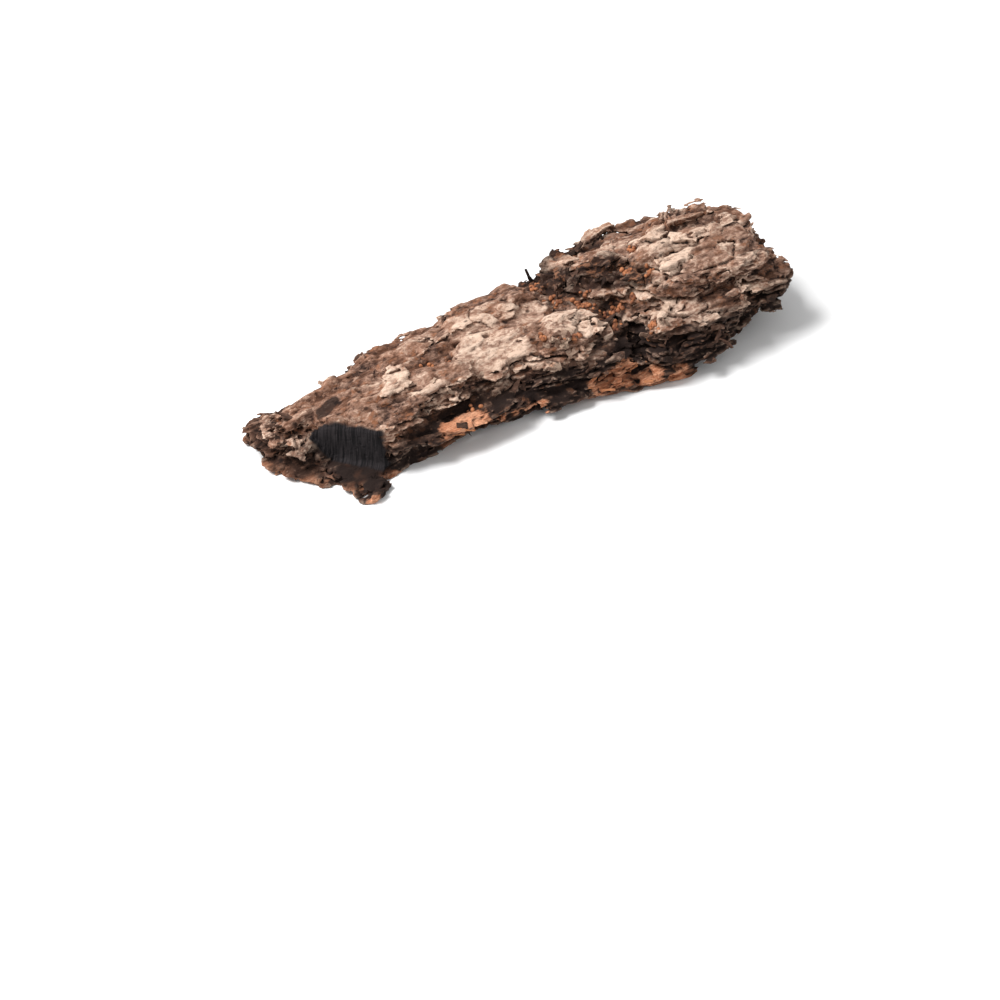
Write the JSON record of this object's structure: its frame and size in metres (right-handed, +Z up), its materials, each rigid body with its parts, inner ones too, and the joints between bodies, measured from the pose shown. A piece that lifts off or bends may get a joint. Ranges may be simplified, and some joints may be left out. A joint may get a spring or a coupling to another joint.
{
  "type": "piece of bark",
  "caption": "Weathered piece of old pine bark: long corky scales stacked on the inner bark, split by furrows, one corner sawn, lying on its inner face",
  "frame": {"origin": "middle of the footprint, on the surface that the piece rests on", "axes": "+X along the grain towards the thick end, +Z up out of the bark's outer face, +Y to the back"},
  "size_m": [0.128, 0.043, 0.0235],
  "materials": {
    "bark": "dry, dull, weathered brown bark"
  },
  "bodies": {
    "root": {"bark": "bark"}
  },
  "joints": []
}
